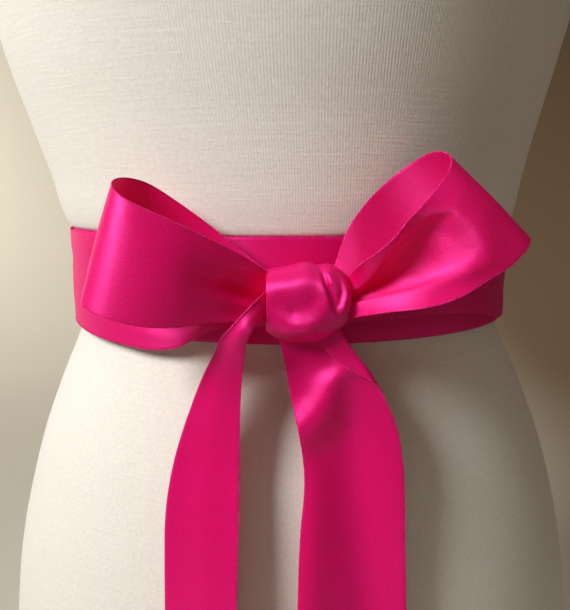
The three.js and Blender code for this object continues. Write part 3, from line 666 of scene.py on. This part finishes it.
def double_faced_satin():
    """Polyester satin ribbon: long bright floats along it give a broad violet-pink sheen over a deep pink."""
    material, tree = new_material("double_faced_polyester_satin")
    uv = add(tree, "ShaderNodeUVMap", uv_map="cloth")
    millimetres = add(tree, "ShaderNodeVectorMath", {0: uv.outputs[0], 1: (1 / MM, 1 / MM, 1 / MM)},
                      operation="MULTIPLY")
    # The real floats are 0.2 mm apart. They are drawn coarser, so that they show.
    float_spacing, float_slant = 0.7, math.radians(62)
    twill = add(tree, "ShaderNodeMapping", {"Vector": millimetres.outputs[0],
                                            "Rotation": (0, 0, float_slant)})
    floats = add(tree, "ShaderNodeTexWave", {"Vector": twill.outputs[0], "Scale": WAVE_PERIOD / float_spacing,
                                             "Distortion": 0.6, "Detail": 1.0})
    # Warp threads about 0.6 mm wide and 8 mm long, a grain of 0.7 mm, and soft unevenness 9 mm across
    stretched = add(tree, "ShaderNodeMapping", {"Vector": millimetres.outputs[0], "Scale": (0.12, 1.6, 1.0)})
    threads = add(tree, "ShaderNodeTexNoise", {"Vector": stretched.outputs[0], "Scale": 1.0, "Detail": 4.0})
    grain = add(tree, "ShaderNodeTexNoise", {"Vector": millimetres.outputs[0], "Scale": 1.5, "Detail": 4.0})
    wide = add(tree, "ShaderNodeTexNoise", {"Vector": millimetres.outputs[0], "Scale": 0.11, "Detail": 2.0})
    height = add(tree, "ShaderNodeMath", {0: floats.outputs["Fac"], 1: 0.25, 2: threads.outputs["Fac"]},
                 operation="MULTIPLY_ADD")
    fine = add(tree, "ShaderNodeBump", {"Strength": 0.7, "Distance": 0.08 * MM, "Height": height.outputs[0]})
    soft = add(tree, "ShaderNodeBump", {"Strength": 0.5, "Distance": 0.35 * MM, "Height": wide.outputs["Fac"],
                                        "Normal": fine.outputs[0]})
    weave = add(tree, "ShaderNodeMath", {0: floats.outputs["Fac"], 1: 0.35, 2: grain.outputs["Fac"]},
                operation="MULTIPLY_ADD")
    tone = add(tree, "ShaderNodeMix", {"Factor": weave.outputs[0], "A": linear("#b40044"),
                                       "B": linear("#f4087a")}, data_type="RGBA")
    tangent = add(tree, "ShaderNodeTangent", direction_type="UV_MAP", uv_map="cloth")
    shader = add(tree, "ShaderNodeBsdfPrincipled", {
        "Base Color": tone.outputs["Result"],
        "Roughness": 0.54,
        "IOR": 2.0,
        "Specular IOR Level": 1.0,
        "Specular Tint": linear("#ff5ac2"),
        "Subsurface Weight": 0.85,
        "Subsurface Radius": (1.0, 0.05, 0.25),
        "Subsurface Scale": 0.9 * MM,
        "Anisotropic": 0.7,
        "Anisotropic Rotation": 0.25,
        "Tangent": tangent.outputs[0],
        "Sheen Weight": 0.05,
        "Sheen Roughness": 0.3,
        "Sheen Tint": linear("#ff6fc4"),
        "Normal": soft.outputs[0],
    })
    add(tree, "ShaderNodeOutputMaterial", {"Surface": shader.outputs[0]})
    return material


def woven_selvage():
    """The ribbon's selvage: tightly packed weft turns, drawn as bright ticks with dark gaps beside them, a
    painted highlight on each turn and painted shade between.
    """
    material, tree = new_material("woven_polyester_selvage")
    place = add(tree, "ShaderNodeTexCoord")
    # Painted highlight and shade: bright pink spots about 0.5 mm apart, deep pink between them
    cells = add(tree, "ShaderNodeTexVoronoi", {"Vector": place.outputs["Object"],
                                               "Scale": 1 / (PICK_SPACING * MM)})
    painted_pick_light = add(tree, "ShaderNodeMapRange", {"Value": cells.outputs["Distance"],
                                             "From Min": 0.3, "From Max": 0.7})
    tone = add(tree, "ShaderNodeMix", {"Factor": painted_pick_light.outputs[0], "A": linear("#ff3c94"),
                                       "B": linear("#c4085a")}, data_type="RGBA")
    shader = add(tree, "ShaderNodeBsdfPrincipled", {
        "Base Color": tone.outputs["Result"],
        "Roughness": 0.5,
        "Specular Tint": linear("#ff4cb0"),
    })
    add(tree, "ShaderNodeOutputMaterial", {"Surface": shader.outputs[0]})
    return material


def cotton_jersey():
    """Cream cotton jersey: matt, in fine upright wales with a little fuzz and a few slubs."""
    material, tree = new_material("cotton_jersey")
    uv = add(tree, "ShaderNodeUVMap", uv_map="cloth")
    parts = add(tree, "ShaderNodeSeparateXYZ", {0: uv.outputs[0]})
    # The wales are 0.9 mm apart at the waist
    wales = 640
    phase = add(tree, "ShaderNodeMath", {0: parts.outputs["X"], 1: 2 * math.pi * wales}, operation="MULTIPLY")
    ribs = add(tree, "ShaderNodeMath", {0: phase.outputs[0]}, operation="SINE")
    place = add(tree, "ShaderNodeTexCoord")
    # Slubs are 1.1 mm high and 17 mm long, and the fuzz is 1.1 mm across
    flat = add(tree, "ShaderNodeMapping", {"Vector": place.outputs["Object"], "Scale": (60, 60, 900)})
    slubs = add(tree, "ShaderNodeTexNoise", {"Vector": flat.outputs[0], "Scale": 1.0, "Detail": 3.0})
    fuzz = add(tree, "ShaderNodeTexNoise", {"Vector": place.outputs["Object"], "Scale": 900.0, "Detail": 3.0})
    ribbed = add(tree, "ShaderNodeBump", {"Strength": 0.5, "Distance": 0.03 * MM, "Height": ribs.outputs[0]})
    slubbed = add(tree, "ShaderNodeBump", {"Strength": 0.5, "Distance": 0.25 * MM,
                                           "Height": slubs.outputs["Fac"], "Normal": ribbed.outputs[0]})
    fuzzed = add(tree, "ShaderNodeBump", {"Strength": 0.4, "Distance": 0.1 * MM,
                                          "Height": fuzz.outputs["Fac"], "Normal": slubbed.outputs[0]})
    tone = add(tree, "ShaderNodeMix", {"Factor": fuzz.outputs["Fac"], "A": linear("#d9d6cf"),
                                       "B": linear("#f0eee8")}, data_type="RGBA")
    shader = add(tree, "ShaderNodeBsdfPrincipled", {
        "Base Color": tone.outputs["Result"],
        "Roughness": 0.9,
        "Specular IOR Level": 0.2,
        "Sheen Weight": 0.2,
        "Sheen Roughness": 0.6,
        "Normal": fuzzed.outputs[0],
    })
    add(tree, "ShaderNodeOutputMaterial", {"Surface": shader.outputs[0]})
    return material


def matt_paper():
    """Backdrop paper, matt and pale, with painted shade: a dark warm tone behind the form on the right stands
    in for the shade that falls on the wall there.
    """
    material, tree = new_material("matt_backdrop_paper")
    place = add(tree, "ShaderNodeTexCoord")
    parts = add(tree, "ShaderNodeSeparateXYZ", {0: place.outputs["Object"]})
    # Painted shade: the paper turns dark to the right and towards the back, where shade falls behind the form
    rightness = add(tree, "ShaderNodeMapRange", {"Value": parts.outputs["X"],
                                                 "From Min": 0.1, "From Max": 0.5},
                    interpolation_type="SMOOTHSTEP")
    farness = add(tree, "ShaderNodeMapRange", {"Value": parts.outputs["Y"],
                                               "From Min": -0.3, "From Max": 0.2},
                  interpolation_type="SMOOTHSTEP")
    painted_shade = add(tree, "ShaderNodeMath", {0: rightness.outputs[0], 1: farness.outputs[0]},
                operation="MULTIPLY")
    tone = add(tree, "ShaderNodeMix", {"Factor": painted_shade.outputs[0], "A": linear("#d6d1c6"),
                                       "B": linear("#8a7660")}, data_type="RGBA")
    shader = add(tree, "ShaderNodeBsdfPrincipled", {
        "Base Color": tone.outputs["Result"],
        "Roughness": 0.95,
        "Specular IOR Level": 0.1,
    })
    add(tree, "ShaderNodeOutputMaterial", {"Surface": shader.outputs[0]})
    return material


# The stage

def add_camera():
    """The photograph's camera, in front of the bow and tilted down to it."""
    data = bpy.data.cameras.new("camera")
    data.sensor_width = SENSOR_SIZE
    data.lens = FOCAL_LENGTH_PIXELS / PICTURE_LONG_SIDE * SENSOR_SIZE
    data.clip_start = 0.01
    camera = bpy.data.objects.new("camera", data)
    camera.location = Vector(CAMERA_PLACE) * MM
    camera.rotation_euler = (math.radians(90 - CAMERA_TILT), 0, 0)
    bpy.context.scene.collection.objects.link(camera)
    bpy.context.scene.camera = camera


def add_lamp(name, place, target, watts, size, spread, colour):
    """A round lamp at a place, turned to its target. Its size and places are in metres."""
    data = bpy.data.lights.new(name, "AREA")
    data.shape = "DISK"
    data.energy = watts
    data.size = size
    data.spread = math.radians(spread)
    data.color = linear(colour)[:3]
    lamp = bpy.data.objects.new(name, data)
    lamp.location = place
    lamp.rotation_euler = (Vector(target) - Vector(place)).to_track_quat("-Z", "Y").to_euler()
    lamp.visible_camera = False
    bpy.context.scene.collection.objects.link(lamp)


def add_stage():
    """A round paper floor that curves up into a wall all about, spun from its profile in metres."""
    radius, wall_height, sweep, hub = 2.2, 2.6, 1.2, 0.001
    bm = bmesh.new()
    profile = [Vector((hub, 0, 0)), Vector((radius - sweep, 0, 0))]
    profile += [Vector((radius - sweep + sweep * math.sin(a), 0, sweep - sweep * math.cos(a)))
                for a in np.radians([15, 30, 45, 60, 75, 90])]
    profile += [Vector((radius, 0, wall_height))]
    verts = [bm.verts.new(place) for place in profile]
    edges = [bm.edges.new(pair) for pair in zip(verts, verts[1:])]
    bmesh.ops.spin(bm, geom=verts + edges, cent=(0, 0, 0), axis=(0, 0, 1), angle=2 * math.pi, steps=96,
                   use_merge=True)
    bmesh.ops.recalc_face_normals(bm, faces=bm.faces)
    mesh = finished_mesh("paper_stage", bm)
    mesh.materials.append(matt_paper())
    mesh.shade_smooth()
    stage = bpy.data.objects.new("paper_stage", mesh)
    bpy.context.scene.collection.objects.link(stage)


def add_light():
    """A soft key lamp high at the front left, one above, one on the wall behind, and a dim warm room."""
    add_lamp("key", (-0.74, -0.63, 0.92), (0, -0.05, 0.29), watts=3.1, size=0.48, spread=80,
             colour="#fffdfa")
    add_lamp("ceiling", (0.3, -0.5, 1.6), (0, 0, 0.3), watts=1.8, size=1.2, spread=180,
             colour="#fff0e0")
    add_lamp("wall", (-1.5, 1.0, 1.5), (-0.9, 1.6, 0.0), watts=16, size=0.6, spread=120,
             colour="#fffaf0")
    world = bpy.data.worlds.new("room")
    world.use_nodes = True
    background = world.node_tree.nodes["Background"]
    background.inputs["Color"].default_value = linear("#d6c3b2")
    background.inputs["Strength"].default_value = 0.165
    bpy.context.scene.world = world
    bpy.context.scene.view_settings.view_transform = "Standard"


add_camera()

SATIN = double_faced_satin()
SELVAGE = woven_selvage()
JERSEY = cotton_jersey()

dress_form()
# A span past 0 or 1 runs the cloth on into the knot, beyond its first or last row
ribbon("turn_inner", inner_turn, outward=1, span=(0, 1), cell=TURN_CELL)
ribbon("turn_outer_left", outer_turn(OUTER_LEFT), outward=-1, span=(-0.004, 1), cell=TURN_CELL)
ribbon("turn_outer_right", outer_turn(OUTER_RIGHT), outward=1, span=(-0.004, 1), cell=TURN_CELL)
ribbon("loop_left", sections(LEFT_LOOP), outward=1, span=(-0.04, 1.04), cell=LOOP_CELL)
ribbon("loop_right", sections(RIGHT_LOOP), outward=-1, span=(-0.04, 1.04), cell=LOOP_CELL)
ribbon("tail_left", folded_ribbon(LEFT_TAIL), outward=-1, span=(-0.03, 1), cell=TAIL_CELL)
ribbon("tail_right", folded_ribbon(RIGHT_TAIL), outward=1, span=(-0.11, 1), cell=TAIL_CELL)
knot()
add_stage()
add_light()
